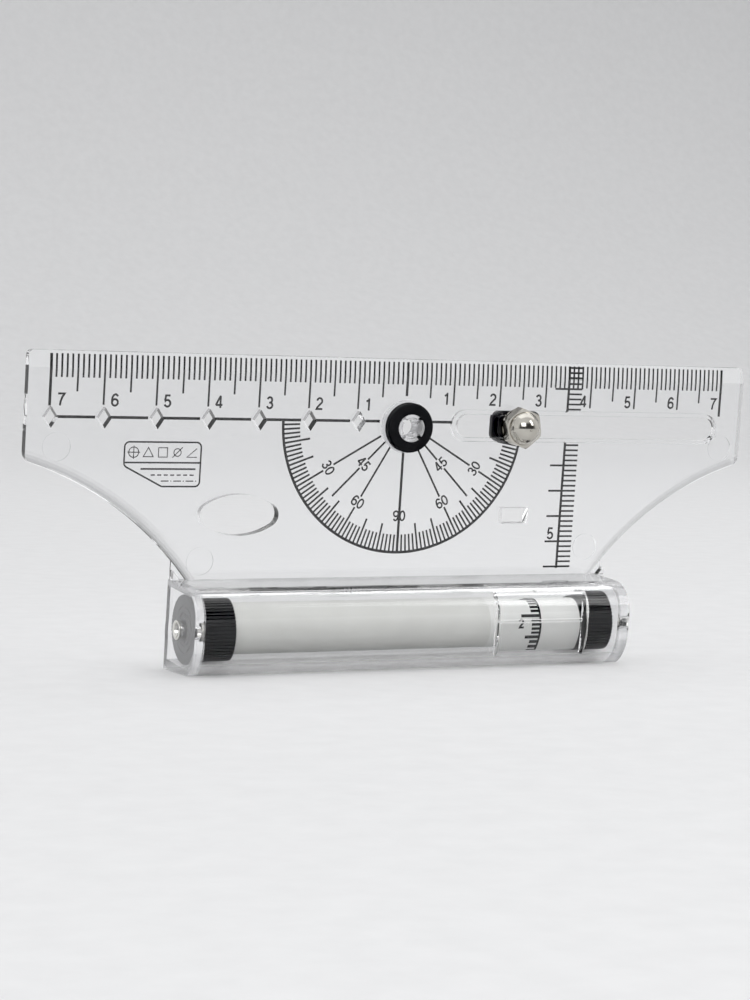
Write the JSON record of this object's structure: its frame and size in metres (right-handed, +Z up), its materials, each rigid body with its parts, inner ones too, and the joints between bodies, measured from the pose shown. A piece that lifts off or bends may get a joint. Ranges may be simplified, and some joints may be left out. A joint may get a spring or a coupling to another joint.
{
  "type": "set square",
  "caption": "Clear rolling set square: leaning plate with protractor, slot slider and pen collet, standing on a housing whose ribbed-wheel roller shows its scale in a window.",
  "frame": {"origin": "centre of the bounding box's footprint, on the flat underside of the roller housing it stands on", "axes": "+X along the ruling edge towards the slot end, +Y towards the paper side (back), +Z up; the plate leans 5 degrees towards -Y"},
  "size_m": [0.149, 0.0158, 0.0579],
  "materials": {
    "clear": "polished clear",
    "clear_window": "polished clear",
    "rubber": "matt moulded",
    "drum_white": "smooth satin",
    "sleeve_white": "smooth satin",
    "hub_grey": "turned matt",
    "black_plastic": "moulded",
    "nickel": "nickel plated, polished",
    "steel": "drawn"
  },
  "bodies": {
    "frame": {"plate": "clear", "housing": "clear", "cap_left": "clear", "cap_right": "clear", "bush_left": "nickel", "bush_right": "nickel", "window": "clear_window", "collet": "clear", "collet_ring": "rubber"},
    "roller": {"drum": "drum_white", "scale_sleeve": "sleeve_white", "hub_left": "hub_grey", "hub_right": "hub_grey", "tyre_left": "rubber", "tyre_right": "rubber", "axle": "steel"},
    "slider": {"slide_block": "black_plastic", "stud": "steel", "needle": "steel"},
    "lifter": {"washer": "nickel"},
    "nut": {"acorn_nut": "nickel"}
  },
  "joints": [
    {"name": "roller_spin", "type": "hinge", "parent": "frame", "child": "roller", "pos_m": [0, 0.00119, 0.00785], "axis": [1, 0, 0], "continuous": true},
    {"name": "slider_slide", "type": "slide", "parent": "frame", "child": "slider", "axis": [1, 0, 0], "range_m": [-0.0074, 0.0391]},
    {"name": "nut_lift", "type": "slide", "parent": "slider", "child": "lifter", "axis": [0, -0.9962, -0.0872], "range_m": [0, 0.0014]},
    {"name": "nut_turn", "type": "hinge", "parent": "lifter", "child": "nut", "pos_m": [0.02355, 0.00189, 0.04535], "axis": [0, -0.9962, -0.0872], "range_deg": [0, 720]}
  ],
  "couplings": [
    {"joint": "nut_turn", "follows": "nut_lift", "rad_per_m": 8975.9}
  ]
}
